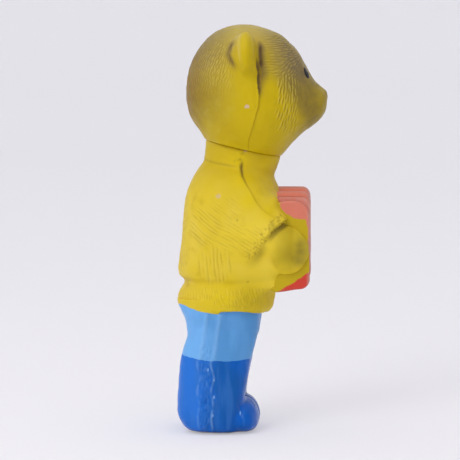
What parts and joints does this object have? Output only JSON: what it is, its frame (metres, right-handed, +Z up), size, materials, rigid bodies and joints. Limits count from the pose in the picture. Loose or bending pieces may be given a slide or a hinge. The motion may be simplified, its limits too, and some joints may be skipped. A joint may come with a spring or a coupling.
{
  "type": "vinyl toy bear",
  "caption": "Standing hollow vinyl squeeze toy: a bear in a sweater, trousers and boots that holds a squeezebox, with a turning head and a reed squeaker in the sole.",
  "frame": {"origin": "on the surface that the toy stands on, under the middle of the whole object's box", "axes": "+Z up, the bear faces -Y, and its own left is +X"},
  "size_m": [0.0692, 0.0656, 0.1799],
  "materials": {
    "painted_vinyl": "airbrushed paint on soft vinyl, semi-matte; trousers and boots glossier",
    "red_vinyl": "painted soft vinyl, semi-matte",
    "tin": "dull tinplate",
    "white_plastic": "plain moulded",
    "reed_brass": "rolled strip"
  },
  "bodies": {
    "body": {"body_front_shell": "painted_vinyl", "body_back_shell": "painted_vinyl", "squeezebox": "red_vinyl", "squeaker_cup": "tin", "squeaker_cap": "tin", "squeaker_reed_plate": "white_plastic", "squeaker_reed_clamp": "white_plastic"},
    "head": {"head_front_shell": "painted_vinyl", "head_back_shell": "painted_vinyl"},
    "reed": {"squeaker_reed": "reed_brass"}
  },
  "joints": [
    {"name": "neck_swivel", "type": "hinge", "parent": "body", "child": "head", "pos_m": [0, 0.0042, 0.1259], "axis": [0, -0.2181, 0.9759], "continuous": true},
    {"name": "reed_flex", "type": "hinge", "parent": "body", "child": "reed", "pos_m": [0, 0.0185, 0.00775], "axis": [1, 0, 0], "range_deg": [-4, 4], "stiffness_Nm_per_rad": 0.01}
  ]
}
